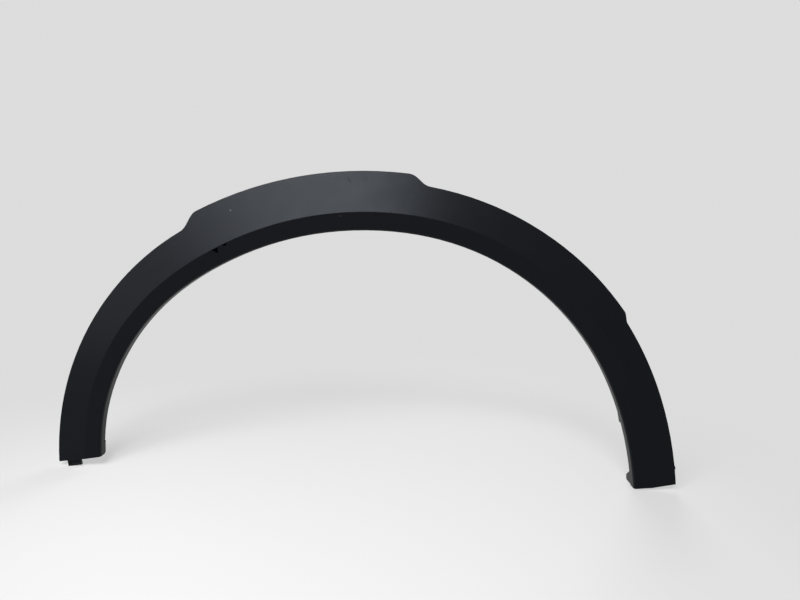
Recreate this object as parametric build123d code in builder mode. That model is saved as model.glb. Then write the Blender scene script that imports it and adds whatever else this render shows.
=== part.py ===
# Wheel arch trim: one moulded arch and the six push-in clips that hold it
# Frame: X to the right seen from the front, Y back into the car body, Z up
# Origin: the crown locating peg, on the plane where the rim meets the body
import os
from math import acos, cos, degrees, pi, radians, sin

from build123d import *

os.makedirs("parts", exist_ok=True)

# Lip of the wheel opening: tangent arcs from the crown down to each foot
LIP_BELOW_PEG = 48.0
CROWN_RADIUS = 460.0
CROWN_LEFT_SWEEP = 37.2
CROWN_RIGHT_SWEEP = 7.0
LEFT_SHOULDER_RADIUS = 330.0
RIGHT_SHOULDER_RADIUS = 388.5
RIGHT_SHOULDER_SWEEP = 53.8
RIGHT_LEG_RADIUS = 503.0
RIGHT_LEG_SWEEP = 21.3

# Feet: how far each runs on below the last arc of its lip, and the slope of the cut
LEFT_FOOT_RUN = 3.7
RIGHT_FOOT_RUN = 0.2
FOOT_SLOPE = 9.0
FOOT_RUNOUT = 34.0

# Width from the lip to the outer edge
SHOULDER_WIDTH = 70.5
LEFT_FOOT_WIDTH = 62.8
RIGHT_LEG_WIDTH = 64.2
HUMP_WIDTH = 84.4
TAPER_START = 18.0
TAPER_END = 80.0

# Where the outer edge changes level, as distances along the lip from the crown
HUMP_LEFT = -231.0
HUMP_RIGHT = 35.0
HUMP_RAMP = 29.0
STEP_AT = 357.0
STEP_RAMP = 15.0

# Section: how far each line stands in front of the body, at the crown and at the feet
RIM_CROWN = 8.5
RIM_FOOT = 5.0
CREASE_CROWN = 22.0
CREASE_FOOT = 6.7
LIP_CROWN = 11.0
LIP_FOOT = 5.0
CREASE_AT = 26.4
CREASE_LEFT_AT = 22.5
CREASE_TURN = 50.0
FACE_BULGE = 0.6
LIP_RADIUS = 4.0
CREASE_SHARP = 2.5
CREASE_SOFT = 85.0
SOFTEN_START = 40.0
SOFTEN_END = 360.0
SECTIONS = 17

# Walls
WALL = 2.8
RIM_WALL = 2.4
RIB_WALL = 1.8

# Return flange, its ear at the right foot, and its catch and notch up from the lip's ends
FLANGE_REAR = 9.0
EAR_REACH = 17.0
EAR_HEIGHT = 22.0
EAR_TIP = 9.0
EAR_RADIUS = 8.0
CATCH_UP = 134.0
CATCH_LENGTH = 26.0
CATCH_REACH = 10.0
LEFT_EAR_REACH = 3.5
TAB_WALL = 1.8
TAB_ROOT = 5.0
NOTCH_UP = 50.8
NOTCH_RADIUS = 2.5

# Working sizes: how far a cut runs past what it cuts, and lengths beyond the trim's own
MARGIN = 1.0
CUT_DEPTH = 60.0
CUT_SPAN = 1200.0
FACE_MARGIN = 12.0
LEAST_RADIUS = 0.6

# Push-in clip: square base, neck and collar, and a cross-shaped stem with barbs
STEM_RADIUS = 2.6
STEM_BLADE = 1.8
BARB_RADIUS = 4.2
BARB_PITCH = 3.2
BARBS = 2
TIP_LENGTH = 2.5
TIP_RADIUS = 1.2
COLLAR_RADIUS = 8.5
COLLAR_DEPTH = 1.4
NECK_RADIUS = 3.5
BASE_HALF = 6.5
BASE_DEPTH = 1.5
CLIP_CLEARANCE = 0.2

# Clip towers on the back, on the same line as the pegs
CLIP_STATIONS = [-335.0, -201.0, -67.0, 67.0, 201.0, 335.0]
TOWER_TOP = 2.0
TOWER_PLATE = 2.0
TOWER_WALL = 1.6
TOWER_LENGTH = 2 * (BASE_HALF + CLIP_CLEARANCE + TOWER_WALL)
TOWER_WIDTH = 2 * (BASE_HALF + TOWER_WALL)

# Locating pegs and cross ribs
PEG_STATIONS = [0.0, 402.0]
PEG_RADIUS = 3.5
PEG_LENGTH = 9.0
PEG_CHAMFER = 1.0
PEG_TIP_ANGLE = 45.0
PEG_BOSS_RADIUS = 6.5
PEG_BOSS_TOP = 1.0
RIB_STATIONS = [-470.0, -402.0, -268.0, -134.0, 134.0, 268.0, 470.0]
RIB_TOP = 1.5

# Tongue under the left foot and nib on the right outer edge
TONGUE_OFFSET = 41.5
TONGUE_WIDTH = 20.0
TONGUE_LENGTH = 9.0
TONGUE_FRONT = 4.6
TONGUE_BACK = 0.4
TONGUE_BORDER = 2.2
TONGUE_RECESS = 1.4
NIB_UP = 57.0
NIB_LENGTH = 5.0
NIB_REACH = 2.2
NIB_DEPTH = 3.0

# Two gouges just under the crease on the left: corners along and below the crease
GOUGE_AT = -228.0
GOUGE_GAP = 14.0
LONG_GOUGE = [(-5.5, -0.6), (4.5, -0.8), (-0.5, -10.0)]
SHORT_GOUGE = [(-5.5, -0.6), (5.5, -0.6), (0.5, -4.8)]
GOUGE_DEPTH = 1.7
GOUGE_LEAD = 0.5
GOUGE_TAPER = 20.0


def blend(value):
    """Smooth step from 0 to 1."""
    t = min(max(value, 0.0), 1.0)
    return (1 - cos(pi * t)) / 2


with BuildLine() as left_lip:
    left_crown = JernArc((0, -LIP_BELOW_PEG), (-1, 0), CROWN_RADIUS, CROWN_LEFT_SWEEP)
    left_shoulder = JernArc(
        left_crown @ 1, left_crown % 1, LEFT_SHOULDER_RADIUS, 90 - CROWN_LEFT_SWEEP
    )
    Line(left_shoulder @ 1, left_shoulder @ 1 + (left_shoulder % 1) * FOOT_RUNOUT)

with BuildLine() as right_lip:
    right_crown = JernArc((0, -LIP_BELOW_PEG), (1, 0), CROWN_RADIUS, -CROWN_RIGHT_SWEEP)
    right_shoulder = JernArc(
        right_crown @ 1, right_crown % 1, RIGHT_SHOULDER_RADIUS, -RIGHT_SHOULDER_SWEEP
    )
    right_leg = JernArc(
        right_shoulder @ 1, right_shoulder % 1, RIGHT_LEG_RADIUS, -RIGHT_LEG_SWEEP
    )
    Line(right_leg @ 1, right_leg @ 1 + (right_leg % 1) * FOOT_RUNOUT)

LEFT_WIRE = left_lip.wires()[0]
RIGHT_WIRE = right_lip.wires()[0]
LEFT_END = -LEFT_WIRE.length
RIGHT_END = RIGHT_WIRE.length
NOTCH_AT = LEFT_END + NOTCH_UP
CATCH_AT = RIGHT_END - CATCH_UP
NIB_AT = RIGHT_END - NIB_UP


def along(distance):
    """Direction of the lip, to the right, at a distance along it from the crown."""
    if distance < 0:
        return LEFT_WIRE % (distance / LEFT_END) * -1
    return RIGHT_WIRE % (distance / RIGHT_END)


def outward(distance):
    """Direction across the trim, away from the wheel."""
    ahead = along(distance)
    return Vector(-ahead.Y, ahead.X)


def spot(distance, offset):
    """Point of the front view: a distance along the lip and an offset out from it."""
    if distance < 0:
        point = LEFT_WIRE @ (distance / LEFT_END)
    else:
        point = RIGHT_WIRE @ (distance / RIGHT_END)
    return point + outward(distance) * offset


def left_turn(distance):
    """How far the lip has turned from the crown, in degrees, on the left side only."""
    if distance >= 0:
        return 0.0
    return degrees(acos(min(outward(distance).Y, 1.0)))


def taper(distance):
    """Width from the lip to the outer edge, without the hump and the step."""
    share = blend((left_turn(distance) - TAPER_START) / (TAPER_END - TAPER_START))
    return SHOULDER_WIDTH + (LEFT_FOOT_WIDTH - SHOULDER_WIDTH) * share


def cross_plane(distance):
    """Plane across the trim: local x out from the lip, local y back into the body."""
    point = spot(distance, 0)
    out = Vector(outward(distance).X, 0, outward(distance).Y)
    return Plane((point.X, 0, point.Y), x_dir=out, z_dir=out.cross(Vector(0, 1, 0)))


def rear_plane(distance, offset, depth):
    """Plane facing back, at a depth in front of the body: local x along the lip."""
    point = spot(distance, offset)
    ahead = Vector(along(distance).X, 0, along(distance).Y)
    return Plane((point.X, -depth, point.Y), x_dir=ahead, z_dir=(0, 1, 0))


def levels(distance):
    """Front lines of a section: lip, crease and the face where the widest cut meets it."""
    share = max(outward(distance).Y, 0.0)
    width = taper(distance)
    reach = HUMP_WIDTH + FACE_MARGIN
    lip = LIP_FOOT + (LIP_CROWN - LIP_FOOT) * share
    crease = CREASE_FOOT + (CREASE_CROWN - CREASE_FOOT) * share
    rim = RIM_FOOT + (RIM_CROWN - RIM_FOOT) * share
    crease_share = blend(left_turn(distance) / CREASE_TURN)
    crease_at = CREASE_AT + (CREASE_LEFT_AT - CREASE_AT) * crease_share
    slope = (crease - rim) / (width - crease_at)
    face_end = crease - slope * (reach - crease_at)
    return Vector(0, -lip), Vector(crease_at, -crease), Vector(reach, -face_end)


def normal(start, end):
    """Unit normal of a front line, pointing into the wall."""
    step = (end - start).normalized()
    return Vector(-step.Y, step.X)


def section(distance, inset, back):
    """Filled section of the trim, with its front moved into the wall by the inset."""
    lip, crease, face_end = levels(distance)
    flange_in = Vector(1, 0)
    band_in = normal(lip, crease)
    face_in = normal(crease, face_end)
    lip_in = lip + (flange_in + band_in) * (inset / (1 + flange_in.dot(band_in)))
    crease_in = crease + (band_in + face_in) * (inset / (1 + band_in.dot(face_in)))
    face_end_in = face_end + Vector(0, inset / face_in.Y)
    soft = blend((distance - SOFTEN_START) / (SOFTEN_END - SOFTEN_START))
    crease_radius = CREASE_SHARP + (CREASE_SOFT - CREASE_SHARP) * soft
    with BuildSketch(cross_plane(distance)) as profile:
        with BuildLine():
            Polyline((lip_in.X, back), lip_in, crease_in)
            SagittaArc(crease_in, face_end_in, FACE_BULGE)
            Polyline(face_end_in, (face_end_in.X, back), (lip_in.X, back))
        make_face()
        lip_corner = profile.vertices().sort_by_distance(lip_in)[0]
        crease_corner = profile.vertices().sort_by_distance(crease_in)[0]
        fillet(lip_corner, max(LIP_RADIUS - inset, LEAST_RADIUS))
        fillet(crease_corner, max(crease_radius - inset, LEAST_RADIUS))
    return profile.sketch


def filled_arch(inset, back):
    """Sections of the whole arch, one after another, ready to loft."""
    step = (RIGHT_END - LEFT_END) / (SECTIONS - 1)
    return [section(LEFT_END + step * index, inset, back) for index in range(SECTIONS)]


def left_foot_corner():
    """Corner of the front view where the lip meets the left foot's cut."""
    return Vector(spot(LEFT_END, 0).X, (left_shoulder @ 1).Y - LEFT_FOOT_RUN)


def right_foot_corner():
    """Corner of the front view where the lip meets the right foot's cut."""
    return Vector(spot(RIGHT_END, 0).X, (right_leg @ 1).Y - RIGHT_FOOT_RUN)


def outline(inset):
    """Front view of the trim up to its outer edge, moved in by the inset."""
    left_foot = taper(LEFT_END) - inset
    base = SHOULDER_WIDTH - inset
    hump = HUMP_WIDTH - inset
    leg = RIGHT_LEG_WIDTH - inset
    ramp_low = HUMP_LEFT - HUMP_RAMP
    ramp_end = HUMP_RIGHT + HUMP_RAMP
    step_end = STEP_AT + STEP_RAMP
    left_run = [LEFT_END + (ramp_low - LEFT_END) * share / 5 for share in range(6)]
    right_run = [step_end + (RIGHT_END - step_end) * share / 3 for share in range(4)]
    with BuildSketch(Plane.XZ) as view:
        with BuildLine():
            Spline([spot(at, taper(at) - inset) for at in left_run])
            left_top = spot(HUMP_LEFT, hump)
            Spline(
                spot(ramp_low, taper(ramp_low) - inset),
                left_top,
                tangents=[along(ramp_low), along(HUMP_LEFT)],
            )
            right_top = spot(HUMP_RIGHT, hump)
            ThreePointArc(left_top, spot((HUMP_LEFT + HUMP_RIGHT) / 2, hump), right_top)
            right_low = spot(ramp_end, base)
            Spline(right_top, right_low, tangents=[along(HUMP_RIGHT), along(ramp_end)])
            step_top = spot(STEP_AT, base)
            ThreePointArc(right_low, spot((ramp_end + STEP_AT) / 2, base), step_top)
            Spline(
                step_top, spot(step_end, leg), tangents=[along(STEP_AT), along(step_end)]
            )
            Spline([spot(at, leg) for at in right_run])
            Polyline(
                spot(RIGHT_END, leg),
                spot(RIGHT_END, -FOOT_RUNOUT),
                spot(LEFT_END, -FOOT_RUNOUT),
                spot(LEFT_END, left_foot),
            )
        make_face()
        for corner in (left_foot_corner(), right_foot_corner()):
            with Locations(Location((corner.X, corner.Y + inset), FOOT_SLOPE)):
                Rectangle(
                    4 * HUMP_WIDTH,
                    3 * FOOT_RUNOUT,
                    align=(Align.CENTER, Align.MAX),
                    mode=Mode.SUBTRACT,
                )
    return view.sketch


# Filled front, trimmed to its outer edge and feet
with BuildPart() as front:
    loft(filled_arch(0, FLANGE_REAR))
    extrude(outline(0), amount=CUT_DEPTH, both=True, mode=Mode.INTERSECT)

# Clip towers with their pockets and keyholes, then peg bosses and cross ribs
with BuildPart() as stiffeners:
    for at in CLIP_STATIONS:
        with BuildSketch(rear_plane(at, LIP_BELOW_PEG, TOWER_TOP)):
            Rectangle(TOWER_LENGTH, TOWER_WIDTH)
    extrude(amount=-CUT_DEPTH)
    # Room for the clip's base under each tower plate, open towards the wheel
    room = BASE_HALF + CLIP_CLEARANCE
    for at in CLIP_STATIONS:
        with BuildSketch(rear_plane(at, LIP_BELOW_PEG, TOWER_TOP + TOWER_PLATE)):
            with Locations((0, -room)):
                Rectangle(2 * room, TOWER_WIDTH, align=(Align.CENTER, Align.MIN))
    extrude(amount=-CUT_DEPTH, mode=Mode.SUBTRACT)
    # Keyhole of each tower plate, open the same way
    keyhole = NECK_RADIUS + CLIP_CLEARANCE
    for at in CLIP_STATIONS:
        with BuildSketch(rear_plane(at, LIP_BELOW_PEG, TOWER_TOP + TOWER_PLATE + MARGIN)):
            Circle(keyhole)
            Rectangle(2 * keyhole, TOWER_WIDTH, align=(Align.CENTER, Align.MIN))
    extrude(amount=TOWER_PLATE + 2 * MARGIN, mode=Mode.SUBTRACT)
    for at in PEG_STATIONS:
        with BuildSketch(rear_plane(at, LIP_BELOW_PEG, PEG_BOSS_TOP)):
            Circle(PEG_BOSS_RADIUS)
    extrude(amount=-CUT_DEPTH)
    for at in RIB_STATIONS:
        with BuildSketch(rear_plane(at, taper(at) / 2, RIB_TOP)):
            Rectangle(RIB_WALL, 2 * HUMP_WIDTH)
    extrude(amount=-CUT_DEPTH)

with BuildPart() as hollow_limit:
    extrude(outline(RIM_WALL), amount=CUT_DEPTH, both=True)
    with Locations((0, FLANGE_REAR, 0)):
        Box(CUT_SPAN, 2 * FLANGE_REAR, CUT_SPAN)

# Hollow behind the face, up to the rim and the feet, around the stiffeners
with BuildPart() as hollow:
    loft(filled_arch(WALL, FLANGE_REAR + MARGIN))
    add(hollow_limit.part, mode=Mode.INTERSECT)
    add(stiffeners.part, mode=Mode.SUBTRACT)


def band_plane(distance):
    """Plane on the chamfer band, facing out of it: local y runs up to the crease."""
    lip, crease = levels(distance)[:2]
    inward = normal(lip, crease)
    out = Vector(outward(distance).X, 0, outward(distance).Y)
    corner = cross_plane(distance).from_local_coords(crease)
    facing = (out * inward.X + Vector(0, inward.Y, 0)) * -1
    ahead = Vector(along(distance).X, 0, along(distance).Y)
    return Plane(corner, x_dir=ahead, z_dir=facing)


def flange_plane(distance):
    """Plane in the middle of the flange: local x back from its rear edge, local y up."""
    point = spot(distance, WALL / 2)
    out = Vector(outward(distance).X, 0, outward(distance).Y)
    facing = out if out.X > 0 else out * -1
    return Plane((point.X, FLANGE_REAR, point.Y), x_dir=(0, 1, 0), z_dir=facing)


# Gouges: torn wedges with their long side along the crease
with BuildPart() as gouges:
    with BuildSketch(band_plane(GOUGE_AT).offset(GOUGE_LEAD)):
        Polygon(*LONG_GOUGE, align=None)
    with BuildSketch(band_plane(GOUGE_AT + GOUGE_GAP).offset(GOUGE_LEAD)):
        Polygon(*SHORT_GOUGE, align=None)
    extrude(amount=-GOUGE_DEPTH - GOUGE_LEAD, taper=GOUGE_TAPER)

with BuildPart() as arch:
    add(front.part)
    add(hollow.part, mode=Mode.SUBTRACT)
    # Ear at the right foot, catch above it and small ear at the left foot
    ear_half = EAR_HEIGHT / 2
    with BuildSketch(flange_plane(RIGHT_END - FOOT_RUNOUT - ear_half)) as ear:
        with BuildLine():
            Polyline(
                (-TAB_ROOT, MARGIN / 2 - ear_half),
                (EAR_REACH, MARGIN / 2 - ear_half),
                (EAR_REACH, EAR_TIP - ear_half),
                (0, ear_half),
                (-TAB_ROOT, ear_half),
                (-TAB_ROOT, MARGIN / 2 - ear_half),
            )
        make_face()
        fillet(ear.vertices().group_by(Axis.X)[-1].sort_by(Axis.Y)[-1], EAR_RADIUS)
    extrude(amount=TAB_WALL / 2, both=True)
    catch_half = CATCH_LENGTH / 2
    with BuildSketch(flange_plane(CATCH_AT - catch_half)):
        with BuildLine():
            Polyline(
                (-TAB_ROOT, -catch_half),
                (CATCH_REACH, -catch_half),
                (0, catch_half),
                (-TAB_ROOT, catch_half),
                (-TAB_ROOT, -catch_half),
            )
        make_face()
    extrude(amount=TAB_WALL / 2, both=True)
    left_foot_at = LEFT_END + FOOT_RUNOUT - LEFT_FOOT_RUN
    with BuildSketch(flange_plane((NOTCH_AT + left_foot_at) / 2)):
        with Locations((-TAB_ROOT, MARGIN / 2)):
            Rectangle(
                TAB_ROOT + LEFT_EAR_REACH,
                NOTCH_AT - left_foot_at - MARGIN,
                align=(Align.MIN, Align.CENTER),
            )
    extrude(amount=TAB_WALL / 2, both=True)
    # Notch above the small ear
    with BuildSketch(flange_plane(NOTCH_AT)):
        Circle(NOTCH_RADIUS)
    extrude(amount=WALL, both=True, mode=Mode.SUBTRACT)
    # Locating pegs, each with a tapered tip
    for at in PEG_STATIONS:
        with BuildSketch(rear_plane(at, LIP_BELOW_PEG, PEG_BOSS_TOP)):
            Circle(PEG_RADIUS)
    extrude(amount=PEG_BOSS_TOP + PEG_LENGTH - PEG_CHAMFER)
    for at in PEG_STATIONS:
        with BuildSketch(rear_plane(at, LIP_BELOW_PEG, PEG_CHAMFER - PEG_LENGTH)):
            Circle(PEG_RADIUS)
    extrude(amount=PEG_CHAMFER, taper=PEG_TIP_ANGLE)
    # Tongue under the left foot, with a sunk front
    foot = left_foot_corner()
    along_foot = Vector(cos(radians(FOOT_SLOPE)), 0, sin(radians(FOOT_SLOPE)))
    tongue_at = Vector(foot.X, -TONGUE_FRONT, foot.Y) - along_foot * TONGUE_OFFSET
    tongue_plane = Plane(tongue_at, x_dir=along_foot, z_dir=(0, -1, 0))
    with BuildSketch(tongue_plane):
        with Locations((0, RIM_WALL / 2)):
            Rectangle(
                TONGUE_WIDTH,
                TONGUE_LENGTH + RIM_WALL / 2,
                align=(Align.CENTER, Align.MAX),
            )
    extrude(amount=TONGUE_BACK - TONGUE_FRONT)
    with BuildSketch(tongue_plane):
        with Locations((0, -TONGUE_LENGTH / 2)):
            Rectangle(
                TONGUE_WIDTH - 2 * TONGUE_BORDER, TONGUE_LENGTH - 2 * TONGUE_BORDER
            )
    extrude(amount=-TONGUE_RECESS, mode=Mode.SUBTRACT)
    # Nib on the right outer edge
    with BuildSketch(rear_plane(NIB_AT, RIGHT_LEG_WIDTH, 0)):
        with Locations((0, RIM_WALL / 2)):
            Rectangle(
                NIB_LENGTH, NIB_REACH + RIM_WALL / 2, align=(Align.CENTER, Align.MAX)
            )
    extrude(amount=-NIB_DEPTH)
    add(gouges.part, mode=Mode.SUBTRACT)

# Push-in clips: base under the plate, collar on it, barbed stem through the panel
BASE_TOP = -TOWER_PLATE - CLIP_CLEARANCE / 2
GRIP = TOWER_TOP + CLIP_CLEARANCE
STEM_TOP = GRIP + BARBS * BARB_PITCH


def stem_edge():
    """Right-hand edge of the stem, from the collar up to the tip."""
    points = [(STEM_RADIUS, COLLAR_DEPTH / 2)]
    for barb in range(BARBS):
        shoulder = GRIP + barb * BARB_PITCH
        points.append((STEM_RADIUS, shoulder))
        points.append((BARB_RADIUS, shoulder))
    points.append((STEM_RADIUS, STEM_TOP))
    points.append((TIP_RADIUS, STEM_TOP + TIP_LENGTH))
    return points


with BuildPart() as clips:
    right_edge = stem_edge()
    left_edge = [(-x, y) for x, y in reversed(right_edge)]
    for at in CLIP_STATIONS:
        seat = rear_plane(at, LIP_BELOW_PEG, TOWER_TOP)
        with BuildSketch(seat.offset(BASE_TOP - BASE_DEPTH)):
            Rectangle(2 * BASE_HALF, 2 * BASE_HALF)
        extrude(amount=BASE_DEPTH)
        with BuildSketch(seat.offset(BASE_TOP)):
            Circle(NECK_RADIUS)
        extrude(amount=-BASE_TOP)
        with BuildSketch(seat):
            Circle(COLLAR_RADIUS)
        extrude(amount=COLLAR_DEPTH)
        for across in (seat.x_dir, seat.y_dir):
            blade = Plane(seat.origin, x_dir=across, z_dir=across.cross(seat.z_dir))
            with BuildSketch(blade):
                Polygon(*right_edge, *left_edge, align=None)
            extrude(amount=STEM_BLADE / 2, both=True)

for node, name in ((arch, "arch_trim"), (clips, "retaining_clips")):
    node.part.label = name
    export_step(node.part, f"parts/{name}.step")
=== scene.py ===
"""Wheel arch trim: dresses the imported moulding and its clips, and sets the studio."""
from math import cos, radians, sin

import bpy
from mathutils import Euler, Matrix, Vector


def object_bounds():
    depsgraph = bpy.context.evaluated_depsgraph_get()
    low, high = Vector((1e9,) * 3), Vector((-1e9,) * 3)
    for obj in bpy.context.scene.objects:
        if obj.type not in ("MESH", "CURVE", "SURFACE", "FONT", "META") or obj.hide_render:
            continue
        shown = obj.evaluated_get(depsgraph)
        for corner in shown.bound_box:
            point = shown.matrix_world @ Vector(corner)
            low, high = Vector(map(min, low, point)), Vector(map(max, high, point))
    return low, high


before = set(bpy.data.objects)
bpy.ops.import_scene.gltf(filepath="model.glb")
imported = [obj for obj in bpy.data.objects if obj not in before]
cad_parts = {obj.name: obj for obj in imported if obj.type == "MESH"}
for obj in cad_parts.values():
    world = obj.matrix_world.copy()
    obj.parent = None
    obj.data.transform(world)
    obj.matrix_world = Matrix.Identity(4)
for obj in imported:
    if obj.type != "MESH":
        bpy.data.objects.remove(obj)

CAD_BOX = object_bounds()

bl_info = {
    "name": "Wheel arch trim",
    "version": (1, 0, 0),
    "blender": (4, 5, 0),
    "location": "View3D > Sidebar > Arch trim",
    "description": "Finishes of a moulded wheel arch trim and its push-in clips",
    "category": "Object",
}

# Sockets of a Mix node that take two colours and give the mixed one
MIX_FROM = 6
MIX_TO = 7
MIX_RESULT = 2


class Socket:
    """A shader socket that takes part in plain arithmetic."""

    def __init__(self, tree, socket):
        self.tree = tree
        self.socket = socket

    def node(self, kind, settings=None, inputs=None, output=0):
        """Adds a node: its settings first, then the values or links of its inputs."""
        made = self.tree.nodes.new(kind)
        for name, value in (settings or {}).items():
            setattr(made, name, value)
        for name, value in (inputs or {}).items():
            if isinstance(value, Socket):
                self.tree.links.new(value.socket, made.inputs[name])
            else:
                made.inputs[name].default_value = value
        return Socket(self.tree, made.outputs[output])

    def math(self, operation, *values):
        """A Math node on this socket and others."""
        inputs = dict(enumerate((self,) + values))
        return self.node("ShaderNodeMath", {"operation": operation}, inputs)

    def __add__(self, other):
        return self.math("ADD", other)

    __radd__ = __add__

    def __mul__(self, other):
        return self.math("MULTIPLY", other)

    __rmul__ = __mul__

    def __sub__(self, other):
        return self.math("SUBTRACT", other)

    def __rsub__(self, other):
        return (self * -1.0).math("ADD", other)

    def ramp(self, low, high):
        """0 below the first value, 1 above the second, smooth between."""
        settings = {"interpolation_type": "SMOOTHSTEP"}
        inputs = {"Value": self, "From Min": low, "From Max": high}
        return self.node("ShaderNodeMapRange", settings, inputs)

    def swing(self, amount):
        """A noise from 0 to 1 as a change to both sides of its middle."""
        return (self - 0.5) * amount

    def between(self, low, high):
        """A colour that goes from one to another as this value goes from 0 to 1."""
        settings = {"data_type": "RGBA"}
        inputs = {"Factor": self, MIX_FROM: low, MIX_TO: high}
        return self.node("ShaderNodeMix", settings, inputs, MIX_RESULT)


def shade(colour):
    """A colour property as the four numbers that a socket takes."""
    return (colour[0], colour[1], colour[2], 1.0)


def new_material(name):
    """An empty material: itself, its shader node and a start for its expressions."""
    material = bpy.data.materials.new(name)
    material.use_nodes = True
    shader = material.node_tree.nodes["Principled BSDF"]
    return material, shader, Socket(material.node_tree, None)


def link(shader, name, value):
    """Feeds a shader's socket from an expression."""
    value.tree.links.new(value.socket, shader.inputs[name])


def show(start, factor, shader, other):
    """Shows the main shader, turning into another one as the factor goes to 1."""
    inputs = {0: factor, 1: Socket(start.tree, shader.outputs["BSDF"]), 2: other}
    mixed = start.node("ShaderNodeMixShader", None, inputs)
    start.tree.links.new(mixed.socket, start.tree.nodes["Material Output"].inputs["Surface"])


def noise(start, place, scale, detail=2.0):
    """Even noise from 0 to 1, with a scale in cycles to the metre."""
    inputs = {"Vector": place, "Scale": scale, "Detail": detail}
    return start.node("ShaderNodeTexNoise", None, inputs)


def vector(start, operation, *values):
    """A Vector Math node: a value for a length or a product, a vector for the rest."""
    output = "Value" if operation in ("DISTANCE", "LENGTH", "DOT_PRODUCT") else "Vector"
    inputs = dict(enumerate(values))
    return start.node("ShaderNodeVectorMath", {"operation": operation}, inputs, output)


def scaled(start, colour, factor):
    """A colour made lighter or darker by a factor."""
    inputs = {0: tuple(colour), "Scale": factor}
    return start.node("ShaderNodeVectorMath", {"operation": "SCALE"}, inputs, "Vector")


BEVEL_SAMPLES = 6


def bumped(start, height, strength, depth, edge_radius):
    """Normals of a skin with some height, and with its edges rounded in the shading."""
    bevel = {"Radius": edge_radius}
    rounded = start.node("ShaderNodeBevel", {"samples": BEVEL_SAMPLES}, bevel, "Normal")
    inputs = {"Strength": strength, "Distance": depth, "Height": height, "Normal": rounded}
    return start.node("ShaderNodeBump", None, inputs, "Normal")


def strongest(masks):
    """The highest of several masks."""
    top = masks[0]
    for mask in masks[1:]:
        top = top.math("MAXIMUM", mask)
    return top


# Places on the part, in metres: middle of the wheel, and centre of the lip's arc at the crown
ARCH_CENTRE = (0.0, 0.0, -0.44)
CROWN_CENTRE = Vector((0.0, 0.0, -0.508))
# Gouges: the point of the crease above each, and the lean of the chamfer band that they are in
GOUGES = [(-0.23021, -0.02016, -0.08221), (-0.21724, -0.02037, -0.07522)]
BAND_LEAN = radians(22.4)
# Scuffs near the top edge: middle, heading, half length and width
SCUFFS = [
    ((-0.0429, -0.0074, 0.0224), (0.57, -0.24, -0.78), 0.0065, 0.0013),
    ((-0.0188, -0.0071, 0.0249), (0.05, -0.285, -0.957), 0.0034, 0.0011),
]
# Share of a scuff's half length before its ends start to fade
SCUFF_SOLID = 0.5
# Light specks: place and size
SPECKS = [((-0.2109, -0.0092, -0.0278), 0.0016), ((-0.0524, -0.0200, -0.0293), 0.0008)]

# Limits of a gouge, each as the start and the end of a fade in metres: how far it reaches from
# its point of the crease, how deep it starts and ends, and how far below the crease it starts
GOUGE_REACH = (0.013, 0.015)
GOUGE_TOP = (0.00012, 0.00030)
GOUGE_FLOOR = (0.0019, 0.0022)
GOUGE_BELOW = (0.0003, 0.0006)
# How far a face turns towards the wheel, to the rear and up, as the start and the end of a fade
LIP_TURN = (0.5, 0.85)
REAR_TURN = (0.0, 0.4)
DUST_TURN = (0.35, 0.95)
# Levels of the patches that break up dust and scuffs, and the edge of a speck, as fades too
DUST_PATCHES = (0.3, 0.75)
SCUFF_PATCHES = (0.2, 0.5)
SPECK_EDGE = (0.15, 0.5)

# Noises of the plastic: cycles to the metre and detail, and fine cycles to one pit of the grain
BROAD_NOISE = (7.0, 3.0)
PATCH_NOISE = (38.0, 4.0)
FINE_PER_PIT = 2.4
# Tone of the plastic: its lowest, and what each noise adds
TONE_LOW = 0.82
TONE_BROAD = 0.22
TONE_PATCH = 0.14
TONE_FINE = 0.12
# Roughness that noises, dust and scuffs add, and that of the smooth skin
ROUGH_BROAD = 0.08
ROUGH_PATCH = 0.08
ROUGH_DUST = 0.15
ROUGH_SCUFF = 0.12
SKIN_ROUGHNESS = 0.3
# Grain: softness of its pits, their share of the height, strength, and loss on the smooth skin
PIT_SOFTNESS = 0.6
PIT_SHARE = 0.7
GRAIN_STRENGTH = 0.35
GRAIN_LOSS = 0.8
# Keeps only what the front view shows of a direction
FRONT_VIEW = (1.0, 0.0, 1.0)


def around(start, place, centre, reach):
    """1 at a point of the part, fading to 0 at a distance from it."""
    return 1.0 - vector(start, "DISTANCE", place, centre).ramp(0.0, reach)


def stroke(start, place, centre, heading, half, width):
    """1 along a short straight mark, fading to 0 at its sides and ends."""
    offset = vector(start, "SUBTRACT", place, centre)
    run = vector(start, "DOT_PRODUCT", offset, heading)
    across = (vector(start, "DOT_PRODUCT", offset, offset) - run * run).math("SQRT")
    ends = 1.0 - run.math("ABSOLUTE").ramp(half * SCUFF_SOLID, half)
    return ends * (1.0 - across.ramp(0.0, width))


def sunk(start, place, corner):
    """1 inside a gouge: under the skin of the chamfer band and below the crease."""
    spoke = Vector(corner) - CROWN_CENTRE
    spoke.y = 0.0
    spoke.normalize()
    out = spoke * -sin(BAND_LEAN) - Vector((0.0, cos(BAND_LEAN), 0.0))
    up = spoke * cos(BAND_LEAN) - Vector((0.0, sin(BAND_LEAN), 0.0))
    offset = vector(start, "SUBTRACT", place, corner)
    depth = vector(start, "DOT_PRODUCT", offset, out) * -1.0
    below = vector(start, "DOT_PRODUCT", offset, up) * -1.0
    near = 1.0 - vector(start, "LENGTH", offset).ramp(*GOUGE_REACH)
    inside = depth.ramp(*GOUGE_TOP) * (1.0 - depth.ramp(*GOUGE_FLOOR))
    return inside * below.ramp(*GOUGE_BELOW) * near


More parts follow.
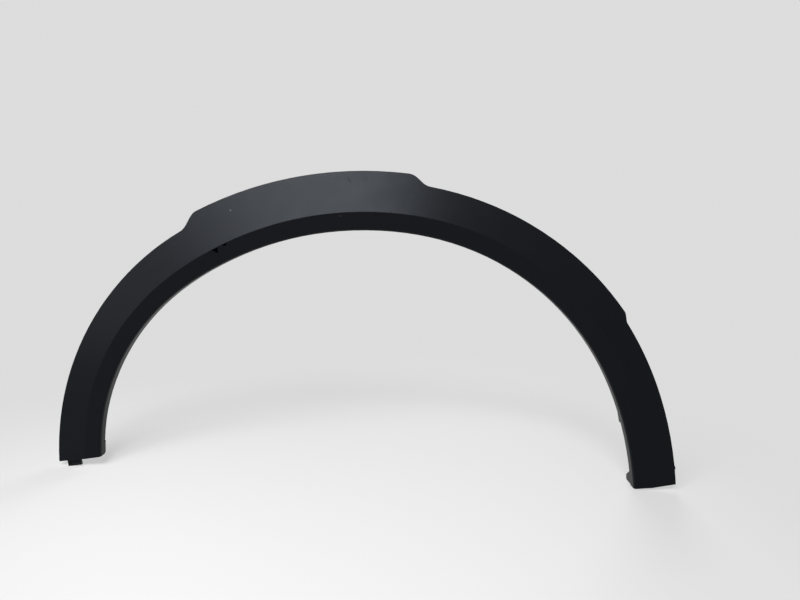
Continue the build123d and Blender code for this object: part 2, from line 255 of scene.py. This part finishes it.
def smooth_skin(start, place, facing):
    """Masks of what is moulded without grain: the lip with its flange, and the back."""
    spoke = vector(start, "SUBTRACT", place, ARCH_CENTRE)
    spoke = vector(start, "NORMALIZE", vector(start, "MULTIPLY", spoke, FRONT_VIEW))
    wheelward = vector(start, "DOT_PRODUCT", facing, spoke) * -1.0
    rearward = start.node("ShaderNodeSeparateXYZ", None, {"Vector": facing}, "Y")
    return wheelward.ramp(*LIP_TURN), rearward.ramp(*REAR_TURN)


def moulded_grain(start, place, fine, pit_size):
    """Height of the grain: soft pits, with a finer noise over them."""
    inputs = {"Vector": place, "Scale": 1.0 / pit_size, "Smoothness": PIT_SOFTNESS}
    pits = start.node("ShaderNodeTexVoronoi", {"feature": "SMOOTH_F1"}, inputs, "Distance")
    return (1.0 - pits) * PIT_SHARE + fine * (1.0 - PIT_SHARE)


def charcoal_grain(finish):
    """Dark moulded plastic: fine grain, faint mottling, smooth lip, gouges with painted shade
    inside, and scuffs.
    """
    material, shader, start = new_material("charcoal_grain")
    place = start.node("ShaderNodeTexCoord", output="Object")
    facing = start.node("ShaderNodeNewGeometry", output="Normal")
    upward = start.node("ShaderNodeSeparateXYZ", None, {"Vector": facing}, "Z")
    lip, rear = smooth_skin(start, place, facing)

    fine = noise(start, place, FINE_PER_PIT / finish.grain_size)
    broad = noise(start, place, *BROAD_NOISE)
    patches = noise(start, place, *PATCH_NOISE)
    dusting = upward.ramp(*DUST_TURN) * patches.ramp(*DUST_PATCHES) * finish.dust
    # Mask of the gouges, where their shade is painted as matt near-black
    gouge_shade = strongest([sunk(start, place, gouge) for gouge in GOUGES])
    scuff = strongest([stroke(start, place, *mark) for mark in SCUFFS])
    scuff = scuff * patches.ramp(*SCUFF_PATCHES)
    speck = strongest([around(start, place, *dot) for dot in SPECKS]).ramp(*SPECK_EDGE)

    tone = TONE_LOW + broad * TONE_BROAD + patches.swing(TONE_PATCH) + fine.swing(TONE_FINE)
    plain = scaled(start, finish.colour, tone)
    colour = dusting.between(plain, shade(finish.dust_colour))
    colour = speck.between(colour, shade(finish.speck_colour))
    link(shader, "Base Color", colour)

    sheen = finish.roughness + broad.swing(ROUGH_BROAD) + patches.swing(ROUGH_PATCH)
    sheen = sheen + dusting * ROUGH_DUST + scuff * ROUGH_SCUFF + lip * finish.lip_haze
    link(shader, "Roughness", sheen)
    skin = (lip * finish.lip_gloss).math("MAXIMUM", rear * finish.back_gloss)
    link(shader, "Coat Weight", skin)
    shader.inputs["Coat Roughness"].default_value = SKIN_ROUGHNESS
    shader.inputs["Specular IOR Level"].default_value = finish.gloss
    # Bluish tint on the reflection: painted colour of cool light, as the lamps are white
    shader.inputs["Specular Tint"].default_value = shade(finish.cool_light_tint)

    smooth = lip.math("MAXIMUM", rear)
    grain = moulded_grain(start, place, fine, finish.grain_size)
    height = grain * (1.0 - smooth * GRAIN_LOSS)
    normal = bumped(start, height, GRAIN_STRENGTH, finish.grain_depth, finish.edge_radius)
    link(shader, "Normal", normal)

    # Painted shade inside the gouges: a matt near-black shader over the torn plastic
    gouge_shade_matt = start.node("ShaderNodeBsdfDiffuse", None, {"Color": shade(finish.gouge_shade_colour)})
    show(start, gouge_shade, shader, gouge_shade_matt)
    return material


# Nylon: noise in cycles to the metre with its detail, flow marks, and shares of the mottling
CLOUD_NOISE = (160.0, 3.0)
NYLON_FINE_SCALE = 1600.0
FLOW_MARKS = {"Scale": 90.0, "Distortion": 6.0, "Detail": 2.0}
CLOUD_SHARE = 0.6
FLOW_SHARE = 0.25
FINE_SHARE = 0.15
# Roughness that the clouds add, texture and edges of the skin, and how light sinks into it
ROUGH_CLOUD = 0.15
NYLON_STRENGTH = 0.2
NYLON_DEPTH = 0.0001
CLIP_EDGE_RADIUS = 0.0003
SINK_WEIGHT = 0.1
SINK_RADIUS = (0.002, 0.002, 0.0015)


def natural_nylon(finish):
    """Milky nylon of the clips: soft mottling, a few darker flow marks, moulded sheen."""
    material, shader, start = new_material("natural_nylon")
    place = start.node("ShaderNodeTexCoord", output="Object")
    settings = {"wave_type": "BANDS", "bands_direction": "Y"}
    flow = start.node("ShaderNodeTexWave", settings, {"Vector": place, **FLOW_MARKS}, "Fac")
    cloud = noise(start, place, *CLOUD_NOISE)
    fine = noise(start, place, NYLON_FINE_SCALE)
    mottle = cloud * CLOUD_SHARE + flow * FLOW_SHARE + fine * FINE_SHARE
    link(shader, "Base Color", mottle.between(shade(finish.dark_colour), shade(finish.colour)))
    link(shader, "Roughness", finish.roughness + cloud.swing(ROUGH_CLOUD))
    link(shader, "Normal", bumped(start, fine, NYLON_STRENGTH, NYLON_DEPTH, CLIP_EDGE_RADIUS))
    shader.inputs["Subsurface Weight"].default_value = SINK_WEIGHT
    shader.inputs["Subsurface Radius"].default_value = SINK_RADIUS
    return material


# Floor: width, height, noise in cycles to the metre with its detail, and its darkest tone
FLOOR_SIZE = 12.0
FLOOR_HEIGHT = CAD_BOX[0][2]
FLOOR_NOISE = (1.2, 3.0)
FLOOR_DARKEST = 0.97
FLOOR_ROUGHNESS = 0.7
FLOOR_GLOSS = 0.2


def seen_ray(start):
    """1 for rays that show the background: to the camera, in reflections, through glass."""
    seen = start.node("ShaderNodeLightPath", output="Is Camera Ray")
    for kind in ("Is Glossy Ray", "Is Transmission Ray"):
        seen = seen.math("MAXIMUM", start.node("ShaderNodeLightPath", output=kind))
    return seen


def pale_floor(setup):
    """Plain pale floor that turns into the backdrop away from the part."""
    material, shader, start = new_material("pale_floor")
    place = start.node("ShaderNodeTexCoord", output="Object")
    wide = noise(start, place, *FLOOR_NOISE)
    seen = seen_ray(start)
    low = tuple(channel * FLOOR_DARKEST for channel in setup.floor_colour)
    pale = wide.between(shade(low), shade(setup.floor_colour))
    link(shader, "Base Color", seen.between(shade(setup.floor_bounce), pale))
    shader.inputs["Roughness"].default_value = FLOOR_ROUGHNESS
    shader.inputs["Specular IOR Level"].default_value = FLOOR_GLOSS

    far = vector(start, "LENGTH", place).ramp(setup.fade_start, setup.fade_end)
    away = setup.floor_glow + far * (1.0 - setup.floor_glow)
    glow = start.node("ShaderNodeEmission", None, {"Color": shade(setup.backdrop_colour)})
    show(start, away * seen, shader, glow)
    return material


def dress(name, material):
    """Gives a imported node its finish."""
    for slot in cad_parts[name].material_slots:
        slot.material = material


class TrimFinish(bpy.types.PropertyGroup):
    """Finish of the moulding."""

    colour: bpy.props.FloatVectorProperty(
        name="Plastic", description="Colour of the moulded plastic", subtype="COLOR",
        size=3, min=0.0, max=1.0, default=(0.0044, 0.0049, 0.0064),
    )
    dust_colour: bpy.props.FloatVectorProperty(
        name="Dust", description="Colour of the dust on upward faces", subtype="COLOR",
        size=3, min=0.0, max=1.0, default=(0.13, 0.13, 0.135),
    )
    speck_colour: bpy.props.FloatVectorProperty(
        name="Specks", description="Colour of the light specks", subtype="COLOR",
        size=3, min=0.0, max=1.0, default=(0.11, 0.11, 0.11),
    )
    # Near-black inside the gouges: painted shade of their depth, over matt torn plastic
    gouge_shade_colour: bpy.props.FloatVectorProperty(
        name="Torn plastic", description="Colour inside the gouges", subtype="COLOR",
        size=3, min=0.0, max=1.0, default=(0.0012, 0.0012, 0.0015),
    )
    # Bluish tint of the skin's reflection: painted colour of cool light, as the lamps are white
    cool_light_tint: bpy.props.FloatVectorProperty(
        name="Sheen", description="Tint of the skin's reflection", subtype="COLOR",
        size=3, min=0.0, max=1.0, default=(0.84, 0.91, 1.0),
    )
    dust: bpy.props.FloatProperty(
        name="Dust amount", description="How dusty the upward faces are", subtype="FACTOR",
        min=0.0, max=1.0, default=0.10,
    )
    roughness: bpy.props.FloatProperty(
        name="Roughness", description="Roughness of the moulded skin", subtype="FACTOR",
        min=0.0, max=1.0, default=0.35,
    )
    gloss: bpy.props.FloatProperty(
        name="Gloss", description="Strength of the skin's reflection", subtype="FACTOR",
        min=0.0, max=1.0, default=0.085,
    )
    lip_haze: bpy.props.FloatProperty(
        name="Lip haze", description="Roughness that the lip and the flange have on top",
        subtype="FACTOR", min=0.0, max=1.0, default=0.1,
    )
    lip_gloss: bpy.props.FloatProperty(
        name="Lip gloss", description="Strength of the smooth skin on the lip and the flange",
        subtype="FACTOR", min=0.0, max=1.0, default=0.2,
    )
    back_gloss: bpy.props.FloatProperty(
        name="Back gloss", description="Strength of the smooth skin on the back",
        subtype="FACTOR", min=0.0, max=1.0, default=0.45,
    )
    grain_size: bpy.props.FloatProperty(
        name="Grain size", description="Width of one pit of the moulded grain",
        unit="LENGTH", min=0.0001, default=0.0009, precision=5,
    )
    grain_depth: bpy.props.FloatProperty(
        name="Grain depth", description="Depth of the moulded grain", unit="LENGTH",
        min=0.0, default=0.00012, precision=5,
    )
    edge_radius: bpy.props.FloatProperty(
        name="Edge radius", description="Rounding of moulded edges in the shading",
        unit="LENGTH", min=0.0, default=0.0012, precision=5,
    )


class ClipFinish(bpy.types.PropertyGroup):
    """Finish of the clips."""

    colour: bpy.props.FloatVectorProperty(
        name="Nylon", description="Colour of the clips", subtype="COLOR",
        size=3, min=0.0, max=1.0, default=(0.62, 0.60, 0.54),
    )
    dark_colour: bpy.props.FloatVectorProperty(
        name="Flow marks", description="Darker tone in the nylon", subtype="COLOR",
        size=3, min=0.0, max=1.0, default=(0.45, 0.43, 0.37),
    )
    roughness: bpy.props.FloatProperty(
        name="Roughness", description="Roughness of the nylon", subtype="FACTOR",
        min=0.0, max=1.0, default=0.42,
    )


class StudioSetup(bpy.types.PropertyGroup):
    """Floor, lamps and camera."""

    floor_colour: bpy.props.FloatVectorProperty(
        name="Floor", description="Colour of the floor", subtype="COLOR",
        size=3, min=0.0, max=1.0, default=(0.80, 0.80, 0.80),
    )
    floor_bounce: bpy.props.FloatVectorProperty(
        name="Floor bounce", description="Colour that the floor throws back on the part",
        subtype="COLOR", size=3, min=0.0, max=1.0, default=(0.25, 0.25, 0.25),
    )
    floor_glow: bpy.props.FloatProperty(
        name="Floor glow", description="Share of the backdrop's tone in the floor below the part",
        subtype="FACTOR", min=0.0, max=1.0, default=0.6,
    )
    fade_start: bpy.props.FloatProperty(
        name="Fade start", description="Where the floor starts to turn into the backdrop",
        unit="LENGTH", min=0.0, default=0.3,
    )
    fade_end: bpy.props.FloatProperty(
        name="Fade end", description="Where the floor has become the backdrop",
        unit="LENGTH", min=0.0, default=0.95,
    )
    backdrop_colour: bpy.props.FloatVectorProperty(
        name="Backdrop", description="Colour behind the part", subtype="COLOR",
        size=3, min=0.0, max=1.0, default=(0.72, 0.72, 0.72),
    )
    ambient: bpy.props.FloatProperty(
        name="Ambient", description="Even light from all around", min=0.0, default=0.08,
    )
    key_power: bpy.props.FloatProperty(
        name="Key lamp", description="Power of the lamp at the upper left",
        unit="POWER", min=0.0, default=11.5,
    )
    front_power: bpy.props.FloatProperty(
        name="Front lamp", description="Power of the lamp high in front", unit="POWER",
        min=0.0, default=21.0,
    )
    left_power: bpy.props.FloatProperty(
        name="Left lamp", description="Power of the lamp at the left", unit="POWER",
        min=0.0, default=6.0,
    )
    low_power: bpy.props.FloatProperty(
        name="Low lamp", description="Power of the low lamp at the far left", unit="POWER",
        min=0.0, default=2.3,
    )
    back_power: bpy.props.FloatProperty(
        name="Back lamp", description="Power of the lamp behind the part", unit="POWER",
        min=0.0, default=24.0,
    )
    lens: bpy.props.FloatProperty(
        name="Lens", description="Focal length of the camera", unit="CAMERA",
        min=1.0, default=27.0,
    )


class ARCH_OT_finish_moulding(bpy.types.Operator):
    """Gives the arch moulding its grained charcoal plastic"""

    bl_idname = "arch.finish_moulding"
    bl_label = "Finish the moulding"

    def execute(self, context):
        dress("arch_trim", charcoal_grain(context.scene.trim_finish))
        return {"FINISHED"}


class ARCH_OT_finish_clips(bpy.types.Operator):
    """Gives the push-in clips their natural nylon"""

    bl_idname = "arch.finish_clips"
    bl_label = "Finish the clips"

    def execute(self, context):
        dress("retaining_clips", natural_nylon(context.scene.clip_finish))
        return {"FINISHED"}


# Lamps: name, place, width and the setting that holds the power
LAMPS = [
    ("key_lamp", (-0.50, -0.86, 0.69), 0.5, "key_power"),
    ("front_lamp", (-0.14, -1.36, 1.01), 0.5, "front_power"),
    ("left_lamp", (-0.80, -0.80, 0.50), 0.5, "left_power"),
    ("low_lamp", (-1.15, -0.72, -0.04), 0.6, "low_power"),
    ("back_lamp", (0.60, 1.80, 0.70), 1.0, "back_power"),
]
LAMP_AIM = Vector((0.0, 0.0, -0.15))
# Camera: place in metres and turn in degrees, in the part's frame, and sensor in millimetres
CAMERA_PLACE = Vector((0.03263, -0.87631, -0.02497))
CAMERA_TURN = (81.981, -2.425, 0.061)
SENSOR_WIDTH = 36.0


def lay_floor(scene, setup):
    """A square floor under the part's lowest point."""
    half = FLOOR_SIZE / 2
    mesh = bpy.data.meshes.new("floor")
    corners = [(-half, -half, 0), (half, -half, 0), (half, half, 0), (-half, half, 0)]
    mesh.from_pydata(corners, [], [(0, 1, 2, 3)])
    floor = bpy.data.objects.new("floor", mesh)
    floor.location.z = FLOOR_HEIGHT
    mesh.materials.append(pale_floor(setup))
    scene.collection.objects.link(floor)


def add_lamp(scene, name, place, size, power):
    """A square soft lamp aimed at the part."""
    lamp = bpy.data.lights.new(name, "AREA")
    lamp.shape = "SQUARE"
    lamp.size = size
    lamp.energy = power
    holder = bpy.data.objects.new(name, lamp)
    holder.location = place
    holder.rotation_euler = (LAMP_AIM - Vector(place)).to_track_quat("-Z", "Y").to_euler()
    scene.collection.objects.link(holder)


def light_world(scene, setup):
    """Even light from all around, with the backdrop's tone where it is seen."""
    world = bpy.data.worlds.new("studio")
    world.use_nodes = True
    scene.world = world
    seen = seen_ray(Socket(world.node_tree, None))
    even = (setup.ambient,) * 3
    colour = seen.between(shade(even), shade(setup.backdrop_colour))
    link(world.node_tree.nodes["Background"], "Color", colour)


def place_camera(scene, setup):
    """The camera of the main view."""
    lens = bpy.data.cameras.new("view")
    lens.sensor_fit = "HORIZONTAL"
    lens.sensor_width = SENSOR_WIDTH
    lens.lens = setup.lens
    camera = bpy.data.objects.new("view", lens)
    turn = Euler([radians(angle) for angle in CAMERA_TURN])
    camera.matrix_world = Matrix.LocRotScale(CAMERA_PLACE, turn, None)
    scene.collection.objects.link(camera)
    scene.camera = camera


class ARCH_OT_set_stage(bpy.types.Operator):
    """Sets the floor, the lamps, the backdrop and the camera"""

    bl_idname = "arch.set_stage"
    bl_label = "Set the stage"

    def execute(self, context):
        scene = context.scene
        setup = scene.studio_setup
        lay_floor(scene, setup)
        for name, place, size, power in LAMPS:
            add_lamp(scene, name, place, size, getattr(setup, power))
        light_world(scene, setup)
        place_camera(scene, setup)
        scene.view_settings.view_transform = "Standard"
        return {"FINISHED"}


class ARCH_PT_panel(bpy.types.Panel):
    """Steps that dress the trim"""

    bl_idname = "ARCH_PT_panel"
    bl_label = "Arch trim"
    bl_space_type = "VIEW_3D"
    bl_region_type = "UI"
    bl_category = "Arch trim"

    def draw(self, context):
        layout = self.layout
        for step in STEPS:
            layout.operator(step.bl_idname)
        for group in ("trim_finish", "clip_finish", "studio_setup"):
            settings = getattr(context.scene, group)
            for name in settings.__annotations__:
                layout.prop(settings, name)


STEPS = (ARCH_OT_finish_moulding, ARCH_OT_finish_clips, ARCH_OT_set_stage)
CLASSES = (TrimFinish, ClipFinish, StudioSetup) + STEPS + (ARCH_PT_panel,)


def register():
    for made in CLASSES:
        bpy.utils.register_class(made)
    bpy.types.Scene.trim_finish = bpy.props.PointerProperty(type=TrimFinish)
    bpy.types.Scene.clip_finish = bpy.props.PointerProperty(type=ClipFinish)
    bpy.types.Scene.studio_setup = bpy.props.PointerProperty(type=StudioSetup)


def unregister():
    del bpy.types.Scene.studio_setup
    del bpy.types.Scene.clip_finish
    del bpy.types.Scene.trim_finish
    for made in reversed(CLASSES):
        bpy.utils.unregister_class(made)


def main():
    register()
    bpy.ops.arch.finish_moulding()
    bpy.ops.arch.finish_clips()
    bpy.ops.arch.set_stage()


if __name__ == "__main__":
    main()
